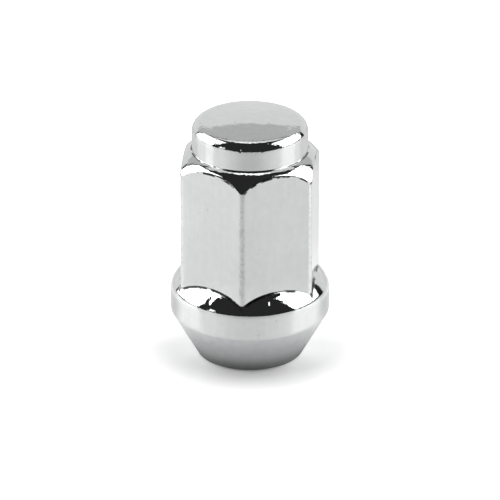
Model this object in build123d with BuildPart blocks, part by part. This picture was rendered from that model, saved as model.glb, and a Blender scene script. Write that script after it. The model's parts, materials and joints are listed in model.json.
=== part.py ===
"""Closed-end wheel nut, forged and turned in one piece, in millimetres.

It stands on the small end of its cone seat, with the thread's axis along +Z and the origin at the centre of
the base. From the base up it has a 60 degree cone seat, a round collar, a hexagon for the wrench with a rounded
shoulder, and a round button that closes the top. A blind hole for the wheel stud comes up from the base. The
hole is modelled at the thread's smallest radius.
"""

import os
from math import atan2, cos, degrees, radians, sin, sqrt, tan

from build123d import *

# Whole nut
overall_height = 36.5

# Hexagon and its shoulder
across_flats = 19.0
hexagon_corner_radius = 1.0
shoulder_fall = 28.0  # how steeply the turned shoulder's arc leaves the ledge, in degrees from level
shoulder_plunge = 68.9  # how steeply it passes the hexagon's corners, in degrees from level
shoulder_edge_radius = 0.45  # softening of the arcs that the shoulder leaves over the flats
ledge_land = 0.02  # level ring left between the two roundings at the button's foot
ledge_edge_radius = 0.2  # rounding from the ledge into the shoulder

# Button top
button_height = 4.88  # from the ledge to the middle of the crown
button_inset = 1.12  # how far the button's side stands in from the flats
button_edge_radius = 1.6
button_root_radius = 0.14  # inner rounding where the button rises from the ledge
crown_height = 0.7  # rise of the crown over the button's full radius

# Collar
collar_overhang = 0.68  # how far the collar stands out beyond the hexagon's corners
collar_side_height = 3.55  # between the cone seat and the domed top, before rounding
collar_slope = 66.0  # how steeply the dome leaves the collar's side, in degrees from level
collar_dome_radius = 6.4  # bulge of the domed top
collar_foot_radius = 0.8  # rounding from the cone seat into the collar's side
collar_rim_radius = 2.2  # rounding from the collar's side into the domed top
collar_root_radius = 0.3  # inner rounding where the domed top meets the flats

# Stud hole, M12 x 1.5
thread_diameter = 12.0
thread_pitch = 1.5
thread_depth_ratio = 0.5413  # depth of an internal metric thread over its pitch
mouth_clearance = 0.4  # how far the countersink opens beyond the thread's largest radius
mouth_angle = 90.0
closed_end = 9.5  # from the end of the hole's straight wall to the top of the nut
drill_point_angle = 118.0

# Cone seat
seat_angle = 60.0  # included angle of the cone
base_land = 1.15  # from the hole's mouth to where the cone would meet the base
base_edge_radius = 0.4

# Worked out from the sizes above
flat_distance = across_flats / 2
corner_distance = (flat_distance - hexagon_corner_radius) / cos(radians(30)) + hexagon_corner_radius
collar_radius = corner_distance + collar_overhang
button_radius = flat_distance - button_inset
bore_radius = thread_diameter / 2 - thread_depth_ratio * thread_pitch
mouth_radius = thread_diameter / 2 + mouth_clearance
base_radius = mouth_radius + base_land
seat_height = (collar_radius - base_radius) / tan(radians(seat_angle / 2))
collar_top = seat_height + collar_side_height
dome_centre = (
    collar_radius - collar_dome_radius * sin(radians(collar_slope)),
    collar_top - collar_dome_radius * cos(radians(collar_slope)),
)
dome_top = dome_centre[1] + collar_dome_radius
shoulder_height = overall_height - button_height
button_side_top = overall_height - crown_height
ledge_start = button_radius + button_root_radius + ledge_land
# The shoulder's radius solves square * radius**2 - 2 * linear * radius + width**2 = 0, so that both angles hold
shoulder_width = corner_distance - ledge_start
square = sin(radians(shoulder_plunge)) ** 2 - sin(radians(shoulder_fall)) ** 2
linear = shoulder_width * sin(radians(shoulder_plunge)) - ledge_edge_radius * (1 - cos(radians(shoulder_fall)))
shoulder_radius = (linear + sqrt(linear**2 - square * shoulder_width**2)) / square
shoulder_rise = shoulder_radius * cos(radians(shoulder_fall))  # of the ledge over the shoulder arc's centre
shoulder_reach = sqrt((shoulder_radius - ledge_edge_radius) ** 2 - (shoulder_rise - ledge_edge_radius) ** 2)
shoulder_centre = (ledge_start - shoulder_reach, shoulder_height - shoulder_rise)
ledge_corner = shoulder_centre[0] + shoulder_radius * sin(radians(shoulder_fall))
head_radius = corner_distance + 0.02  # just outside the hexagon
head_drop = sqrt(shoulder_radius**2 - (head_radius - shoulder_centre[0]) ** 2)
shoulder_end = degrees(atan2(head_drop, head_radius - shoulder_centre[0]))
hexagon_start = (seat_height + collar_top) / 2  # inside the collar
mouth_depth = (mouth_radius - bore_radius) / tan(radians(mouth_angle / 2))
hole_depth = overall_height - closed_end
drill_point_height = bore_radius / tan(radians(drill_point_angle / 2))

# The head is turned from this upright plane, so that its seam meets a flat away from the flat's middle
head_plane = Plane.XZ.rotated((0, 0, 15))

os.makedirs("parts", exist_ok=True)

with BuildPart() as lug_nut:
    # The hexagon, with its upright corners rounded as forging leaves them
    with BuildSketch(Plane.XY.offset(hexagon_start)) as hexagon:
        RegularPolygon(radius=flat_distance, side_count=6, major_radius=False, rotation=30)
        fillet(hexagon.vertices(), hexagon_corner_radius)
    extrude(amount=overall_height - hexagon_start)

    # The head turned on it: the shoulder, which leaves an arc over each flat, the ledge and the crowned button
    with BuildSketch(head_plane) as head:
        with BuildLine():
            crown = TangentArc((0, overall_height), (button_radius, button_side_top), tangent=(1, 0))
            shoulder = CenterArc(shoulder_centre, shoulder_radius, shoulder_end, 90 - shoulder_fall - shoulder_end)
            Polyline(crown @ 1, (button_radius, shoulder_height), shoulder @ 1)
            Polyline(shoulder @ 0, (head_radius, 0), (0, 0), crown @ 0)
        make_face()
        fillet(head.vertices().sort_by_distance((button_radius, button_side_top, 0))[0], button_edge_radius)
        fillet(head.vertices().sort_by_distance((button_radius, shoulder_height, 0))[0], button_root_radius)
        fillet(head.vertices().sort_by_distance((ledge_corner, shoulder_height, 0))[0], ledge_edge_radius)
    revolve(axis=Axis.Z, mode=Mode.INTERSECT)
    arcs = lug_nut.edges().filter_by(lambda edge: edge.geom_type not in (GeomType.LINE, GeomType.CIRCLE))
    fillet(arcs, shoulder_edge_radius)

    # The cone seat and the collar with its domed top, turned as one profile
    with BuildSketch(Plane.XZ) as collar:
        with BuildLine():
            dome = CenterArc(dome_centre, collar_dome_radius, 90 - collar_slope, collar_slope)
            Polyline(dome @ 1, (0, dome_top), (0, 0), (base_radius, 0), (collar_radius, seat_height), dome @ 0)
        make_face()
        fillet(collar.vertices().sort_by_distance((base_radius, 0, 0))[0], base_edge_radius)
        fillet(collar.vertices().sort_by_distance((collar_radius, seat_height, 0))[0], collar_foot_radius)
        fillet(collar.vertices().sort_by_distance((collar_radius, collar_top, 0))[0], collar_rim_radius)
    revolve(axis=Axis.Z)
    roots = lug_nut.edges().filter_by(GeomType.LINE, reverse=True)
    roots = roots.filter_by_position(Axis.Z, collar_top, dome_top, inclusive=(False, False))
    fillet(roots, collar_root_radius)

    # The stud hole from the base up: countersunk mouth, straight wall, and the drill's pointed end
    with BuildSketch(Plane.XZ):
        with BuildLine():
            Polyline(
                (0, 0),
                (mouth_radius, 0),
                (bore_radius, mouth_depth),
                (bore_radius, hole_depth),
                (0, hole_depth + drill_point_height),
                close=True,
            )
        make_face()
    revolve(axis=Axis.Z, mode=Mode.SUBTRACT)

lug_nut.part.label = "lug_nut"
export_step(lug_nut.part, "parts/lug_nut.step")
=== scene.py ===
# %% [markdown]
# # A closed-end wheel nut in bright chrome
#
# This nut clamps a car wheel to its hub. The stud screws into the blind hole in its base, the cone at its
# foot centres itself in the wheel's seat, and the hexagon takes the wrench. The real one is forged from
# steel bar, its head and cone are turned, its hole is drilled and tapped, and the whole is plated with
# nickel and chrome.
#
# Chrome has hardly any colour of its own: what is seen is the room, bent by the metal. So this lesson
# spends its effort on three things: a smooth and exact surface, the small faults of a plated forging, and
# a studio that is worth reflecting.
#
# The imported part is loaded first. It is the fixed frame that fixes the size and place of all that
# follows.

# %% Load the frame
import json
from math import atan2, cos, degrees, hypot, pi, radians, sin, sqrt, tan

import bpy
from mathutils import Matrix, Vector


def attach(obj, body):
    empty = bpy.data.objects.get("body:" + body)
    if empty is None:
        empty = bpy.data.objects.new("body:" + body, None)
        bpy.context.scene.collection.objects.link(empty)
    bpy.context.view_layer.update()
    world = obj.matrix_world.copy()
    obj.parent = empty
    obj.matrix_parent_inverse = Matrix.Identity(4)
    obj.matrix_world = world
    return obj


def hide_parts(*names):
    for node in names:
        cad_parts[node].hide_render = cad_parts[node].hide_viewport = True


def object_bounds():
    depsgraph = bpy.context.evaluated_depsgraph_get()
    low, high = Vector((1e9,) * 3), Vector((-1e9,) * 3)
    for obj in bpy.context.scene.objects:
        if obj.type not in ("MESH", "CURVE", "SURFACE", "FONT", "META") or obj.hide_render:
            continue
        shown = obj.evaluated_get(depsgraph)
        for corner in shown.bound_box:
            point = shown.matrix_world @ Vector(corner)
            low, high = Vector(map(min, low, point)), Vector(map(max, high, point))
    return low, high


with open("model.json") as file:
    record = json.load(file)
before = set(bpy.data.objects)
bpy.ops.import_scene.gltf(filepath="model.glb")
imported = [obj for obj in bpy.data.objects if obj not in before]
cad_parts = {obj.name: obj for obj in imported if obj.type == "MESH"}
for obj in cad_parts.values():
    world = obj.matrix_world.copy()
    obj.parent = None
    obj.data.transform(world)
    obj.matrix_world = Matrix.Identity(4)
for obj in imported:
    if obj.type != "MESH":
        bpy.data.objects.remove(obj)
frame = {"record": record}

MM = 0.001
cad_low, cad_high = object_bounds()
print("The part is %.2f x %.2f x %.2f mm" % tuple((cad_high - cad_low) / MM))

# %% [markdown]
# ## The nut's sizes
#
# The height and the collar's width are read from the frame, and the hole's radius from the record's mount
# for the stud. The rest are the sizes that a maker would put on the drawing: the hexagon, the roundings
# left by the forging dies, and the bulges of the shoulder and of the collar's domed top.

# %% Sizes
mounts = {mount["name"]: mount for mount in frame["record"]["mounts"]}
nut_height = cad_high.z
collar_radius = min(cad_high.x, cad_high.y, -cad_low.x, -cad_low.y)
core_radius = mounts["stud_thread"]["dims"]["r_mm"] * MM

flat_distance = 9.5 * MM
hexagon_corner = 1.0 * MM
shoulder_height = nut_height - 4.88 * MM
shoulder_fall = 28
shoulder_radius = 4.8 * MM
shoulder_edge = 0.45 * MM
button_radius = flat_distance - 1.12 * MM
button_edge = 1.6 * MM
button_root = 0.14 * MM
ledge_land = 0.02 * MM
ledge_edge = 0.2 * MM
crown_rise = 0.7 * MM
collar_side = 3.55 * MM
collar_slope = 66
collar_dome = 6.4 * MM
collar_foot = 0.8 * MM
collar_rim = 2.2 * MM
collar_root = 0.3 * MM
mouth_radius = 6.4 * MM
base_radius = 7.55 * MM
base_edge = 0.4 * MM
seat_half_angle = 30
hole_depth = nut_height - 9.5 * MM
drill_half_angle = 59

seat_height = (collar_radius - base_radius) / tan(radians(seat_half_angle))
collar_top = seat_height + collar_side
corner_centre = (flat_distance - hexagon_corner) / cos(radians(30))
corner_distance = corner_centre + hexagon_corner
print("The cone seat ends %.2f mm up and the collar's side %.2f mm up" % (seat_height / MM, collar_top / MM))

# %% [markdown]
# ## The profile
#
# A lathe makes a round shape from one line: its profile. Every rounding here is an arc that meets its
# neighbours without a kink, because a kink in chrome shows as a break in the reflection. Long straight
# runs get an extra ring close to each end, which holds the shading flat up to the start of the rounding.
#
# The same line also gives the hexagon. Only the wall between the collar and the shoulder changes its
# distance from the axis as one walks round the nut, so the profile is written for any wall distance.

# %% Arcs and runs
def arc(centre, radius, start, end, steps):
    """Points round an arc. Angles are in degrees, from straight out to straight up."""
    points = []
    for step in range(steps + 1):
        angle = radians(start + (end - start) * step / steps)
        points.append((centre[0] + radius * cos(angle), centre[1] + radius * sin(angle)))
    return points


def rounded(corner, radius, start, end, steps):
    """The arc that rounds a corner. A negative radius rounds an inner corner."""
    middle = radians((start + end) / 2)
    reach = radius / cos(radians(abs(end - start) / 2))
    centre = (corner[0] - reach * cos(middle), corner[1] - reach * sin(middle))
    return arc(centre, radius, start, end, steps)


def straight(first, last, steps, hold=0.12 * MM):
    """Points between two ends, with a holding point close to each end."""
    near = hold / hypot(last[0] - first[0], last[1] - first[1])
    shares = [near + (1 - 2 * near) * step / steps for step in range(steps + 1)]
    return [(first[0] + (last[0] - first[0]) * s, first[1] + (last[1] - first[1]) * s) for s in shares]


# %% The outside, from the base's edge to the crown
crown_radius = (button_radius**2 + crown_rise**2) / (2 * crown_rise)


def on_circle(centre, reach, out):
    """The point above a centre, at that reach from it and that distance from the axis."""
    return (out, centre[1] + sqrt(reach**2 - (out - centre[0]) ** 2))


def angle_from(centre, point):
    return degrees(atan2(point[1] - centre[1], point[0] - centre[0]))


# The collar's dome leaves its side at the slope's angle
dome_centre = (
    collar_radius - collar_dome * sin(radians(collar_slope)),
    collar_top - collar_dome * cos(radians(collar_slope)),
)
rim_centre = on_circle(dome_centre, collar_dome - collar_rim, collar_radius - collar_rim)
dome_start = angle_from(dome_centre, rim_centre)

# The ledge's rounding starts this far out, and the shoulder's arc is placed to meet it
ledge_out = button_radius + button_root + ledge_land
arc_rise = shoulder_radius * cos(radians(shoulder_fall))
ledge_reach = sqrt((shoulder_radius - ledge_edge) ** 2 - (arc_rise - ledge_edge) ** 2)
shoulder_centre = (ledge_out - ledge_reach, shoulder_height - arc_rise)
ledge_centre = (ledge_out, shoulder_height - ledge_edge)
ledge_start = angle_from(shoulder_centre, ledge_centre)


def outside(wall):
    """The outer profile where the wall between collar and shoulder is this far from the axis."""
    line = rounded((base_radius, 0), base_edge, -90, -seat_half_angle, 5)
    foot = rounded((collar_radius, seat_height), collar_foot, -seat_half_angle, 0, 8)
    rim = arc(rim_centre, collar_rim, 0, dome_start, 10)
    line += straight(line[-1], foot[0], 6) + foot
    line += straight(foot[-1], rim[0], 4) + rim

    root_centre = on_circle(dome_centre, collar_dome + collar_root, wall + collar_root)
    dome_end = angle_from(dome_centre, root_centre)
    line += arc(dome_centre, collar_dome, dome_start, dome_end, 8)[1:]
    line += arc(root_centre, -collar_root, dome_end, 0, 5)[1:]

    edge_centre = on_circle(shoulder_centre, shoulder_radius - shoulder_edge, wall - shoulder_edge)
    edge_end = angle_from(shoulder_centre, edge_centre)
    edge = arc(edge_centre, shoulder_edge, 0, edge_end, 6)
    line += straight(line[-1], edge[0], 8) + edge

    line += arc(shoulder_centre, shoulder_radius, edge_end, ledge_start, 8)[1:]
    line += arc(ledge_centre, ledge_edge, ledge_start, 90, 10)[1:]
    line += arc((button_radius + button_root, shoulder_height + button_root), -button_root, 90, 0, 8)

    crown_centre = (0, nut_height - crown_radius)
    top_centre = on_circle(crown_centre, crown_radius - button_edge, button_radius - button_edge)
    top_end = angle_from(crown_centre, top_centre)
    top = arc(top_centre, button_edge, 0, top_end, 14)
    line += straight(line[-1], top[0], 3) + top
    line += arc(crown_centre, crown_radius, top_end, 90, 12)[1:-1]
    return line + [(0, nut_height)]


# %% The hole, from the drill's point down to the base's edge
drill_tip = (0, hole_depth + core_radius / tan(radians(drill_half_angle)))
hole_end = (core_radius, hole_depth)
mouth_top = (core_radius, mouth_radius - core_radius)
mouth_edge = (mouth_radius, 0)
hole_line = [drill_tip] + straight(drill_tip, hole_end, 3) + [hole_end]
hole_line += straight(hole_end, mouth_top, 16) + [mouth_top]
hole_line += straight(mouth_top, mouth_edge, 3) + [mouth_edge]
hole_line += straight(mouth_edge, outside(corner_distance)[0], 2, 0.05 * MM)

blank_line = hole_line + outside(corner_distance)
print("The profile has %d points" % len(blank_line))

# %% [markdown]
# ## Directions round the hexagon
#
# A turned blank would have its columns of faces evenly spaced. The hexagon needs them crowded at its six
# small corner roundings, and one close to each side of a corner so that the flats stay flat in the
# shading.

# %% Directions and wall distances
CORNER_STEPS = 6
FLAT_STEPS = 10
flat_half_width = (flat_distance - hexagon_corner) * tan(radians(30))


def corner_angle(turn):
    """Direction of the point on a corner's rounding that faces this far away from the corner."""
    return atan2(hexagon_corner * sin(turn), corner_centre + hexagon_corner * cos(turn))


half_side = [corner_angle(radians(30) * step / CORNER_STEPS) for step in range(CORNER_STEPS + 1)]
across = flat_half_width - 0.12 * MM
for step in range(FLAT_STEPS + 1):
    half_side.append(pi / 6 - atan2(across * (1 - step / FLAT_STEPS), flat_distance))
side = half_side + [pi / 3 - angle for angle in reversed(half_side[1:-1])]
directions = [angle + number * pi / 3 for number in range(6) for angle in side]
COLUMNS = len(directions)


def wall_distance(direction):
    """How far the rounded hexagon is from the axis, in a direction measured from one of its corners."""
    turn = abs((direction + pi / 6) % (pi / 3) - pi / 6)
    if turn >= corner_angle(pi / 6) - 1e-9:
        return flat_distance / cos(pi / 6 - turn)
    return corner_centre * cos(turn) + sqrt(hexagon_corner**2 - (corner_centre * sin(turn)) ** 2)


print("%d columns of faces go round the nut" % COLUMNS)

# %% [markdown]
# ## Turning the blank
#
# The profile is drawn as a chain of points, one extrude after another, and spun round the axis, which is
# just what a lathe does. Both ends of the chain lie on the axis, so merging the doubles there closes the
# drill's point and the crown with a single vertex each.

# %% Helpers for selecting
def use_only(piece):
    """Select one object and nothing else, because an operator acts on all that is selected."""
    bpy.ops.object.select_all(action="DESELECT")
    piece.select_set(True)
    bpy.context.view_layer.objects.active = piece


def start_edit(piece, action="SELECT"):
    use_only(piece)
    bpy.ops.object.mode_set(mode="EDIT")
    bpy.ops.mesh.select_all(action=action)


def end_edit():
    bpy.ops.object.mode_set(mode="OBJECT")


# %% Spin the blank
def chain(name, points):
    """A piece that is one chain of edges through points given as (distance out, height)."""
    bpy.ops.object.select_all(action="DESELECT")
    bpy.ops.mesh.primitive_plane_add(size=MM, location=(0, 0, 0))
    made = bpy.context.object
    made.name = name
    made.data.name = name
    start_edit(made)
    bpy.ops.mesh.merge(type="CENTER")
    place = (0.0, 0.0)
    for number, point in enumerate(points):
        move = {"value": (point[0] - place[0], 0, point[1] - place[1])}
        if number == 0:
            bpy.ops.transform.translate(**move)
        else:
            bpy.ops.mesh.extrude_region_move(TRANSFORM_OT_translate=move)
        place = point
    end_edit()
    return made


nut_body = chain("nut_body", blank_line)
start_edit(nut_body)
bpy.ops.mesh.spin(steps=COLUMNS, angle=2 * pi, center=(0, 0, 0), axis=(0, 0, 1), use_auto_merge=False)
bpy.ops.mesh.select_all(action="SELECT")
bpy.ops.mesh.remove_doubles(threshold=0.001 * MM)
bpy.ops.mesh.normals_make_consistent(inside=False)
end_edit()
print("The blank has %d vertices and %d faces" % (len(nut_body.data.vertices), len(nut_body.data.polygons)))

# %% [markdown]
# ## Forging the hexagon
#
# A die presses the round bar into a hexagon. Here each vertex slides to its place: its column says which
# direction it faces, its row says which point of the profile it is, and the wall distance in that
# direction gives the profile to use. One corner of the hexagon is turned to face -Y.

# %% Slide each vertex to the forged shape
def forge(body):
    rows = {}
    for row, (out, height) in enumerate(blank_line):
        rows[(round(out * 1e7), round(height * 1e7))] = row
    profiles = [hole_line + outside(wall_distance(direction)) for direction in directions]
    unmatched = 0
    for vertex in body.data.vertices:
        out = hypot(vertex.co.x, vertex.co.y)
        key = (round(out * 1e7), round(vertex.co.z * 1e7))
        near = [(key[0] + a, key[1] + b) for a in (0, -1, 1, -2, 2) for b in (0, -1, 1, -2, 2)]
        found = [rows[place] for place in near if place in rows]
        if not found:
            unmatched += 1
            continue
        column = round(atan2(vertex.co.y, vertex.co.x) / (2 * pi / COLUMNS)) % COLUMNS
        out, height = profiles[column][found[0]]
        facing = directions[column] - pi / 2
        vertex.co = (out * cos(facing), out * sin(facing), height)
    body.data.update()
    return unmatched


print("Vertices that found no row:", forge(nut_body))

# %% [markdown]
# ## Cutting the thread
#
# A tap cuts the thread: a fine M12 x 1.5, right-handed. Its tooth is drawn as a small trapezoid with
# sides at 60 degrees to each other, and a Screw modifier sweeps it up the hole. The swept tap is then
# taken away from the body, so the thread runs out into the countersink as a real one does.

# %% The tap
thread_pitch = 1.5 * MM
stud_radius = 6.0 * MM
tap_inner = 4.94 * MM
tap_start = -1.6 * MM
tap_turns = 16
root_half = thread_pitch / 16
tooth_depth = stud_radius - tap_inner
open_half = root_half + tooth_depth * tan(radians(30))

bpy.ops.object.select_all(action="DESELECT")
bpy.ops.mesh.primitive_plane_add(size=1, location=(0, 0, 0))
tap = bpy.context.object
tap.name = "tap"
start_edit(tap)
bpy.ops.transform.resize(value=(tooth_depth, 2 * open_half, 1))
bpy.ops.transform.rotate(value=pi / 2, orient_axis="X", center_override=(0, 0, 0))
bpy.ops.transform.translate(value=(tap_inner + tooth_depth / 2, 0, tap_start))
bpy.ops.mesh.select_all(action="DESELECT")
end_edit()
for vertex in tap.data.vertices:
    vertex.select = vertex.co.x > tap_inner + tooth_depth / 2
for edge in tap.data.edges:
    edge.select = all(tap.data.vertices[number].select for number in edge.vertices)
use_only(tap)
bpy.ops.object.mode_set(mode="EDIT")
bpy.ops.transform.resize(value=(1, 1, root_half / open_half), center_override=(stud_radius, 0, tap_start))
bpy.ops.mesh.select_all(action="SELECT")
bpy.ops.mesh.delete(type="ONLY_FACE")
end_edit()
sweep = tap.modifiers.new("sweep", "SCREW")
sweep.axis = "Z"
sweep.angle = 2 * pi
sweep.screw_offset = thread_pitch
sweep.iterations = tap_turns
sweep.steps = 96
sweep.render_steps = 96
sweep.use_merge_vertices = False
bpy.ops.object.modifier_apply(modifier="sweep")
start_edit(tap)
bpy.ops.mesh.remove_doubles(threshold=0.0001 * MM)
bpy.ops.mesh.select_all(action="DESELECT")
bpy.ops.mesh.select_non_manifold(extend=False)
bpy.ops.mesh.edge_face_add()
bpy.ops.mesh.select_all(action="SELECT")
bpy.ops.mesh.normals_make_consistent(inside=False)
end_edit()
print("The tap has %d faces" % len(tap.data.polygons))

# %% Cut with the tap
use_only(nut_body)
cut = nut_body.modifiers.new("cut", "BOOLEAN")
cut.operation = "DIFFERENCE"
cut.solver = "EXACT"
cut.object = tap
bpy.ops.object.modifier_apply(modifier="cut")
bpy.data.objects.remove(tap)
start_edit(nut_body, "DESELECT")
bpy.ops.mesh.select_non_manifold(extend=False)
end_edit()
print("Open or shared edges after the cut:", sum(edge.select for edge in nut_body.data.edges))
use_only(nut_body)
bpy.ops.object.shade_smooth_by_angle(angle=radians(32))
triangles = sum(len(face.vertices) - 2 for face in nut_body.data.polygons)
print("The body has %d triangles" % triangles)

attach(nut_body, "root")
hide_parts("lug_nut")

# %% [markdown]
# ## Writing shader maths as expressions
#
# A finish is mostly arithmetic on masks and noises. Wrapping each socket in a small class lets that
# arithmetic be written as it would be on paper, and the class adds the Math nodes.

# %% Shader helpers
class Wire:
    """A socket that can be used in an expression."""

    def __init__(self, finish, socket):
        self.finish = finish
        self.socket = socket

    def __add__(self, other):
        return self.finish.math("ADD", self, other)

    def __sub__(self, other):
        return self.finish.math("SUBTRACT", self, other)

    def __rsub__(self, other):
        return self.finish.math("SUBTRACT", other, self)

    def __mul__(self, other):
        return self.finish.math("MULTIPLY", self, other)

    def __truediv__(self, other):
        return self.finish.math("DIVIDE", self, other)

    __radd__ = __add__
    __rmul__ = __mul__


class Finish:
    """A node tree being wired: a material's, or the world's."""

    def __init__(self, owner):
        owner.use_nodes = True
        self.owner = owner
        self.tree = owner.node_tree
        self.tree.nodes.clear()

    def node(self, kind, settings=None, values=None, out=0):
        """Add a node. Its settings are set first, then the values or links of its sockets."""
        made = self.tree.nodes.new(kind)
        for name, value in (settings or {}).items():
            setattr(made, name, value)
        for name, value in (values or {}).items():
            if isinstance(value, Wire):
                self.tree.links.new(value.socket, made.inputs[name])
            else:
                made.inputs[name].default_value = value
        return Wire(self, made.outputs[out]) if len(made.outputs) else made

    def math(self, operation, *values):
        return self.node("ShaderNodeMath", {"operation": operation}, dict(enumerate(values)))

    def vector(self, operation, *values, out=0):
        """A Vector Math node. Its second output, 1, holds a length or a dot product."""
        return self.node("ShaderNodeVectorMath", {"operation": operation}, dict(enumerate(values)), out)

    def ramp(self, value, start, end, low=0.0, high=1.0):
        """Rises smoothly from low to high as the value goes from start to end."""
        values = {"Value": value, "From Min": start, "From Max": end, "To Min": low, "To Max": high}
        return self.node("ShaderNodeMapRange", {"interpolation_type": "SMOOTHSTEP"}, values)

    def noise(self, place, size, detail=2.0, distortion=0.0):
        """Noise from 0 to 1 with features about this size."""
        values = {"Vector": place, "Scale": 1 / size, "Detail": detail, "Distortion": distortion}
        return self.node("ShaderNodeTexNoise", {}, values)

    def mix(self, share, first, second):
        """A colour between two colours."""
        settings = {"data_type": "RGBA", "clamp_factor": True}
        return self.node("ShaderNodeMix", settings, {0: share, 6: first, 7: second}, out=2)

    def show(self, shader, kind="ShaderNodeOutputMaterial"):
        self.node(kind, {}, {"Surface": shader})


# %% [markdown]
# ## The chrome
#
# Chrome plate follows every fault of the steel under it. The flats are calm, with faint upright lines
# from the forging dies. The button's edge, the shoulder and the collar's dome have been knocked about in
# the plating barrel, so the edges of the reflections there are ragged. A broken shallow groove lies under
# the arcs over the flats with a near-black painted shade line along it, the upright corners are rubbed
# here and there, and near-black painted shade lies in the inner corner at the flats' feet. The cone seat
# is made satin, like a turned surface under thin plating, and the hole is nearly bare steel.

# %% Chrome material
# Single dents from the barrel: the middle, how far it reaches and how deep it is
KNOCKS = [
    ((-4.45 * MM, -9.4 * MM, 12.05 * MM), 0.4 * MM, 0.03 * MM),
    ((-4.1 * MM, -9.1 * MM, 12.5 * MM), 0.4 * MM, 0.03 * MM),
    ((-4.9 * MM, -9.9 * MM, 11.6 * MM), 0.5 * MM, 0.04 * MM),
    ((3.96 * MM, -9.8 * MM, 11.8 * MM), 0.22 * MM, 0.05 * MM),
    ((1.6 * MM, -10.35 * MM, 11.9 * MM), 0.25 * MM, 0.06 * MM),
    ((2.6 * MM, -7.8 * MM, 35.05 * MM), 0.25 * MM, 0.06 * MM),
    ((-0.5 * MM, -8.25 * MM, 34.95 * MM), 0.25 * MM, 0.05 * MM),
    ((0.5 * MM, -9.9 * MM, 30.6 * MM), 0.25 * MM, 0.05 * MM),
]


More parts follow.
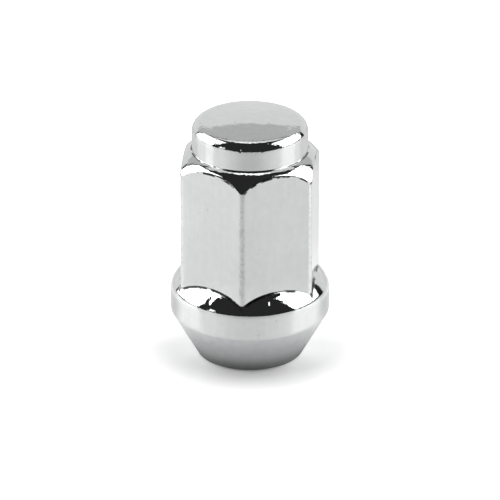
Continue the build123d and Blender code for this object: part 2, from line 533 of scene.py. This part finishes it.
def make_chrome():
    chrome = Finish(bpy.data.materials.new("chrome"))
    place = chrome.node("ShaderNodeTexCoord", out=3)
    split = chrome.node("ShaderNodeSeparateXYZ", {}, {0: place}).socket.node
    height = Wire(chrome, split.outputs[2])
    flattened = chrome.vector("MULTIPLY", place, (1, 1, 0))
    out = chrome.vector("LENGTH", flattened, out=1)

    # Where the body is knocked, satin or bare
    crown_band = chrome.ramp(height, 35.4 * MM, 35.8 * MM)
    button_band = chrome.ramp(height, 33.0 * MM, 34.2 * MM) * chrome.ramp(out, 6.0 * MM, 7.2 * MM)
    shoulder_band = chrome.ramp(height, 28.0 * MM, 29.5 * MM) * chrome.ramp(out, 8.2 * MM, 8.8 * MM)
    slope_band = chrome.ramp(height, 9.6 * MM, 10.4 * MM) * (1 - chrome.ramp(height, 14.2 * MM, 15.5 * MM))
    lower_band = 1 - chrome.ramp(height, 8.5 * MM, 10.0 * MM)
    knocked = chrome.math("MAXIMUM", chrome.math("MAXIMUM", button_band, shoulder_band), slope_band)
    satin = (1 - chrome.ramp(height, 6.35 * MM, 6.55 * MM)) * chrome.ramp(out, 6.5 * MM, 7.0 * MM)
    in_hole = (1 - chrome.ramp(out, 6.1 * MM, 6.6 * MM)) * (1 - chrome.ramp(height, 30.0 * MM, 31.5 * MM))

    # Edges: painted shade under the arcs over the flats, the upright corners, and painted shade in the inner
    # corner at the flats' feet
    def turned_height(centre, radius):
        """Height of a turned bulge above this place."""
        beyond = out - centre[0]
        return chrome.math("SQRT", radius**2 - beyond * beyond) + centre[1]

    def across_flats(turn):
        """Distance from the axis towards one pair of flats."""
        facing = (cos(radians(turn)), sin(radians(turn)), 0)
        along = chrome.vector("DOT_PRODUCT", place, facing, out=1)
        return chrome.math("ABSOLUTE", along)

    rough = chrome.noise(place, 0.5 * MM, 3.0)
    hexagon = across_flats(0)
    for turn in (60, 120):
        hexagon = chrome.math("MAXIMUM", hexagon, across_flats(turn))
    from_arc = turned_height(shoulder_centre, shoulder_radius) - height
    from_dome = height - turned_height(dome_centre, collar_dome)
    upright = chrome.ramp(height, 12.0 * MM, 13.0 * MM) * (1 - chrome.ramp(height, 32.0 * MM, 32.2 * MM))
    # Painted shade: a broken near-black line just under the arcs over the flats, over a shallow groove
    groove_and_painted_shade = chrome.ramp(from_arc, 0.02 * MM, 0.04 * MM) * (1 - chrome.ramp(from_arc, 0.26 * MM, 0.36 * MM))
    groove_and_painted_shade = groove_and_painted_shade * upright * chrome.ramp(chrome.noise(place, 1.4 * MM, 4.0), 0.44, 0.54)
    corners = chrome.ramp(out, corner_distance - 0.14 * MM, corner_distance - 0.02 * MM) * upright
    corners = corners * chrome.ramp(rough, 0.5, 0.6)
    # Painted shade: near-black in patches in the inner corner where the flats meet the collar's dome
    corner_shade_reach = flat_distance + 0.28 * MM
    painted_corner_shade = 1 - chrome.ramp(hexagon + rough * (0.3 * MM), corner_shade_reach, corner_shade_reach + 0.18 * MM)
    painted_corner_shade = painted_corner_shade * (1 - chrome.ramp(from_dome, 0.1 * MM, 0.2 * MM)) * slope_band
    painted_corner_shade = painted_corner_shade * chrome.ramp(chrome.noise(place, 2.5 * MM, 2.0), 0.4, 0.52)

    # Relief, in metres
    stretch = chrome.vector("MULTIPLY", place, (1, 1, 0.06))
    die_lines = chrome.noise(stretch, 0.9 * MM, 1.0) * (1.6e-3 * MM)
    waves = chrome.noise(place, 2.6 * MM, 1.0) * (1 + crown_band * 1.2 + lower_band) * (9e-3 * MM)
    dinged = 1 + (knocked + button_band) * 8 + crown_band
    dings = chrome.noise(place, 0.75 * MM, 2.0, 0.4) * dinged * (2.2e-3 * MM)
    pit_noise = chrome.noise(place, 0.30 * MM, 0.0)
    pits = chrome.ramp(pit_noise, 0.86, 0.93)
    hollows = pits * (6e-3 * MM) + (groove_and_painted_shade + corners * 0.3) * (8e-3 * MM)
    relief = die_lines + waves + dings - hollows
    for spot, size, depth in KNOCKS:
        away = chrome.vector("SUBTRACT", place, spot)
        squeezed = chrome.vector("MULTIPLY", away, (1, 0.4, 0.4))
        apart = chrome.vector("LENGTH", squeezed, out=1)
        relief = relief - chrome.ramp(apart, 0, size, depth, 0)
    bump = chrome.node("ShaderNodeBump", {}, {"Strength": 1.0, "Distance": 1.0, "Height": relief})

    # Colour and gloss
    clouds = chrome.noise(place, 6.0 * MM, 2.0)
    streaks = chrome.noise(stretch, 0.5 * MM, 3.0)
    blotches = chrome.noise(place, 1.1 * MM, 3.0)
    tone = clouds * 0.4 + streaks * 0.2 + blotches * 0.4
    plated = chrome.mix(tone, (0.525, 0.54, 0.537, 1), (0.69, 0.7, 0.697, 1))
    turned = chrome.mix(blotches, (0.50, 0.51, 0.515, 1), (0.62, 0.63, 0.635, 1))
    seat = chrome.mix(satin, plated, turned)
    spotted = chrome.mix(pits, seat, (0.25, 0.25, 0.25, 1))
    rubbed = chrome.mix(corners * 0.35, spotted, (0.4, 0.4, 0.39, 1))
    # Near-black painted shade under the arcs and in the inner corner at the flats' feet
    painted_shaded = chrome.mix(chrome.math("MAXIMUM", groove_and_painted_shade, painted_corner_shade), rubbed, (0.03, 0.03, 0.03, 1))
    colour = chrome.mix(in_hole, painted_shaded, (0.42, 0.415, 0.40, 1))
    pits_and_painted_shade = pits + painted_corner_shade + groove_and_painted_shade
    gloss = 0.035 + clouds * 0.02 + satin * 0.2 + in_hole * 0.25 + pits_and_painted_shade * 0.2 + corners * 0.08
    metal = chrome.node(
        "ShaderNodeBsdfPrincipled",
        {},
        {"Base Color": colour, "Metallic": 1.0, "Roughness": gloss, "Normal": bump},
    )
    chrome.show(metal)
    return chrome.owner


nut_body.data.materials.clear()
nut_body.data.materials.append(make_chrome())
print("The body wears", nut_body.data.materials[0].name)

# %% [markdown]
# ## The studio
#
# Chrome is lit with large white surfaces, and the camera's side is left dark. The nut stands on a white
# board. A softbox stands on each side, with a dark rim round it that draws a line round its reflection,
# and a small window glows beside the left one. A backdrop and a pale wall are behind. A white ceiling
# comes forward to a bright strip just behind the point overhead. Each panel is placed by the directions
# of its corners, as the nut would see them. The metal alone sees the panels, and the lamps light the
# floor.

# %% Directions in the studio
camera_azimuth = 6.3
camera_elevation = 24.3
studio_centre = Vector((0, 0, 20 * MM))


def toward(azimuth, elevation):
    """A direction in the studio. Azimuth 0 is the camera's side and 90 its right, in degrees."""
    turn = radians(azimuth + camera_azimuth)
    level = cos(radians(elevation))
    return Vector((sin(turn) * level, -cos(turn) * level, sin(radians(elevation))))


def emitter(name, strength):
    glow = Finish(bpy.data.materials.new(name))
    glow.show(glow.node("ShaderNodeEmission", {}, {"Color": (1, 1, 1, 1), "Strength": strength}))
    return glow.owner


def panel(name, corners, distance, strength):
    """A flat panel that only the metal sees, with corners in four directions."""
    bpy.ops.object.select_all(action="DESELECT")
    bpy.ops.mesh.primitive_plane_add(size=1, location=(0, 0, 0))
    made = bpy.context.object
    made.name = name
    plane_order = (corners[0], corners[1], corners[3], corners[2])
    for vertex, (azimuth, elevation) in zip(made.data.vertices, plane_order):
        vertex.co = studio_centre + toward(azimuth, elevation) * distance
    made.data.materials.append(emitter(name, strength))
    made.visible_camera = False
    made.visible_diffuse = False
    made.visible_shadow = False
    return made


# %% Panels
panels = [
    panel("left_rim", [(-131, -5), (-76, -5), (-60, 59.5), (-130, 44.5)], 0.54, 0.02),
    panel("right_rim", [(65, -4), (126, -5), (130, 43.5), (50, 60)], 0.54, 0.02),
    panel("left_softbox", [(-126, 1), (-78, 1), (-66, 57), (-127, 42)], 0.36, 4.0),
    panel("left_window", [(-61, 2), (-50, 3), (-49, 13), (-58, 16)], 0.36, 2.0),
    panel("right_softbox", [(65, 2), (114, 4), (127, 41), (57, 56)], 0.36, 4.0),
    panel("backdrop", [(128, -14), (-128, -14), (-128, 20), (128, 20)], 0.60, 0.97),
    panel("wall", [(126, -14), (-126, -14), (-124, 43), (124, 43)], 0.80, 0.65),
    panel("ceiling", [(118, 43), (-118, 43), (-104, 74), (104, 74)], 0.60, 0.95),
    panel("top_strip", [(108, 70), (-108, 70), (-80, 83), (80, 83)], 0.58, 2.0),
]
print("%d panels stand round the nut" % len(panels))

# %% [markdown]
# ## The floor
#
# The floor is a sheet of white paper with no edge in sight. The camera sees it a little brighter than it
# is lit, which makes it fade to white round the nut and keeps the shadow, and painted light lightens the
# shadow to the sides, beside the cone and behind the nut. The metal sees it as a board whose front edge is
# a quarter of a metre away, with a painted shadow where the nut stands, a painted glow round it, a painted
# sheen to the sides and painted shade behind the nut. A small hole under the nut lets the base be seen
# from below, and the board's underside doesn't show.

# %% Floor
def make_floor_finish():
    paper = Finish(bpy.data.materials.new("floor_paper"))
    light = paper.node("ShaderNodeLightPath").socket.node
    for_camera = Wire(paper, light.outputs["Is Camera Ray"])
    for_metal = Wire(paper, light.outputs["Is Glossy Ray"])
    place = paper.node("ShaderNodeTexCoord", out=3)
    turn = (0, 0, radians(camera_azimuth))
    turned = paper.node("ShaderNodeMapping", {"vector_type": "TEXTURE"}, {0: place, "Rotation": turn})
    split = paper.node("ShaderNodeSeparateXYZ", {}, {0: turned}).socket.node
    back = Wire(paper, split.outputs[1])
    lit = paper.node(
        "ShaderNodeBsdfPrincipled", {}, {"Base Color": (0.9, 0.9, 0.9, 1), "Roughness": 0.3, "IOR": 1.3}
    )
    sideways = Wire(paper, split.outputs[0])
    across = paper.math("ABSOLUTE", sideways)
    reach = paper.vector("LENGTH", place, out=1)
    fade = paper.ramp(reach, 9 * MM, 14.5 * MM)
    slow_fade = paper.ramp(reach, 9 * MM, 18 * MM)
    # Painted light: lifts the shadow beside the cone, more on the right than the left
    painted_light_beside = paper.ramp(back, -6 * MM, 0) * (1 - paper.ramp(reach, 9 * MM, 15 * MM))
    painted_light_beside = painted_light_beside * paper.ramp(sideways, -9 * MM, 9 * MM, 0.05, 0.13)
    # Painted light: lifts the shadow behind the nut
    painted_light_behind = paper.ramp(back, 1 * MM, 6 * MM) * 0.15
    # Painted sheen: brighter towards the sides
    painted_side_sheen = paper.ramp(across / reach, 0.1, 1.0)
    # Painted glow that only the metal sees, brightest a little way out from the nut
    painted_near_glow = paper.ramp(reach, 9.6 * MM, 12.5 * MM) * (0.2 - 0.09 * paper.ramp(reach, 30 * MM, 45 * MM))
    # The camera's part and the metal's part of the glow, both with painted light in them
    camera_glow_and_painted_light = 0.06 + 0.4 * slow_fade + 0.12 * painted_side_sheen + painted_light_beside + painted_light_behind
    strength = for_camera * camera_glow_and_painted_light + for_metal * (painted_near_glow + fade * painted_side_sheen * 0.3)
    glow = paper.node("ShaderNodeEmission", {}, {"Color": (1, 1, 1, 1), "Strength": strength})
    board = paper.node("ShaderNodeAddShader", {}, {0: lit, 1: glow})
    dark = paper.node("ShaderNodeEmission", {}, {"Color": (1, 1, 1, 1), "Strength": 0.03})
    front_end = 1 - paper.ramp(back, -260 * MM, -240 * MM)
    # Painted contact shadow that only the metal sees, round the nut's base
    painted_contact_shadow = (1 - paper.ramp(reach, 7.6 * MM, 9.8 * MM)) * 0.6
    # Painted shade that only the metal sees behind the nut, strongest close to it
    dull = paper.ramp(reach, 25 * MM, 34 * MM, 0.28, 0.02) + paper.ramp(reach, 64 * MM, 72 * MM, 0, 0.15)
    painted_shade_behind = paper.ramp(back, 0, 12 * MM) * dull
    board_edge_and_painted_shade = paper.math("MAXIMUM", paper.math("MAXIMUM", front_end, painted_contact_shadow), painted_shade_behind) * for_metal
    seen = paper.node("ShaderNodeMixShader", {}, {0: board_edge_and_painted_shade, 1: board, 2: dark})
    clear = paper.node("ShaderNodeBsdfTransparent")
    underside = paper.node("ShaderNodeNewGeometry", out=6)
    paper.show(paper.node("ShaderNodeMixShader", {}, {0: underside, 1: seen, 2: clear}))
    return paper.owner


floor_height = -0.02 * MM
peephole = 7.2 * MM
ring_growths = (4, 6, 5, 4)
bpy.ops.object.select_all(action="DESELECT")
bpy.ops.mesh.primitive_circle_add(
    vertices=96, radius=peephole, fill_type="NOTHING", location=(0, 0, floor_height)
)
floor = bpy.context.object
floor.name = "floor"
start_edit(floor)
for growth in ring_growths:
    bpy.ops.mesh.extrude_region_move(TRANSFORM_OT_translate={"value": (0, 0, 0)})
    bpy.ops.transform.resize(value=(growth, growth, 1))
bpy.ops.mesh.select_all(action="SELECT")
bpy.ops.mesh.normals_make_consistent(inside=False)
end_edit()
if floor.data.polygons[0].normal.z < 0:
    start_edit(floor)
    bpy.ops.mesh.flip_normals()
    end_edit()
floor.data.materials.append(make_floor_finish())
print("The floor faces", tuple(round(n, 2) for n in floor.data.polygons[0].normal))

# %% [markdown]
# ## Lamps and the world
#
# The lamps are plain white area lights at a level where paper renders about as white as it is. They make
# the soft shadow. The world is white for the camera, which gives the white background, and a soft fill
# for the paper. For the metal it is dark above the horizon, because the panels are what the metal should
# see there, and lighter below it, which only a view from underneath sees.

# %% Lamps and world
def lamp(name, azimuth, elevation, distance, size, radiance):
    """A square area light that faces the nut. Its power gives the radiance asked for."""
    place = studio_centre + toward(azimuth, elevation) * distance
    bpy.ops.object.select_all(action="DESELECT")
    bpy.ops.object.light_add(type="AREA", location=place)
    made = bpy.context.object
    made.name = name
    made.rotation_euler = toward(azimuth, elevation).to_track_quat("Z", "Y").to_euler()
    made.data.shape = "SQUARE"
    made.data.size = size
    made.data.energy = radiance * size * size * pi
    made.visible_camera = False
    made.visible_glossy = False
    return made


lamp("left_lamp", -95, 26, 0.45, 0.5, 2.5)
lamp("right_lamp", 92, 26, 0.45, 0.5, 2.5)
lamp("top_lamp", 0, 85, 0.6, 0.5, 0.5)

world = bpy.data.worlds.new("studio_world")
bpy.context.scene.world = world
room = Finish(world)
rays = room.node("ShaderNodeLightPath").socket.node
seen_by_camera = Wire(room, rays.outputs["Is Camera Ray"])
seen_by_metal = Wire(room, rays.outputs["Is Glossy Ray"])
fill = 0.07
below_horizon = 0.5
above_horizon = 0.03
direction = room.node("ShaderNodeTexCoord", out=0)
upward = Wire(room, room.node("ShaderNodeSeparateXYZ", {}, {0: direction}).socket.node.outputs[2])
for_metal = room.ramp(upward, -0.3, 0.0, below_horizon, above_horizon)
for_paper = (1 - seen_by_camera) * (1 - seen_by_metal) * fill
level = seen_by_camera + seen_by_metal * for_metal + for_paper
sky = room.node("ShaderNodeBackground", {}, {"Color": (1, 1, 1, 1), "Strength": level})
room.show(sky, "ShaderNodeOutputWorld")
bpy.context.scene.view_settings.view_transform = "Standard"

# %% [markdown]
# ## The camera
#
# A long lens from more than a metre away, looking down by about 24 degrees.

# %% Camera
camera_distance = 1.2
focal_length = 598.6
aim = Vector((0, 0, 15.63 * MM))
bpy.ops.object.camera_add(location=aim + toward(0, camera_elevation) * camera_distance)
camera = bpy.context.object
camera.name = "camera"
camera.rotation_euler = toward(0, camera_elevation).to_track_quat("Z", "Y").to_euler()
camera.data.sensor_width = 36
camera.data.lens = focal_length
camera.data.clip_start = 0.1
camera.data.clip_end = 50
bpy.context.scene.camera = camera
print("The camera is %.2f m away" % camera_distance)
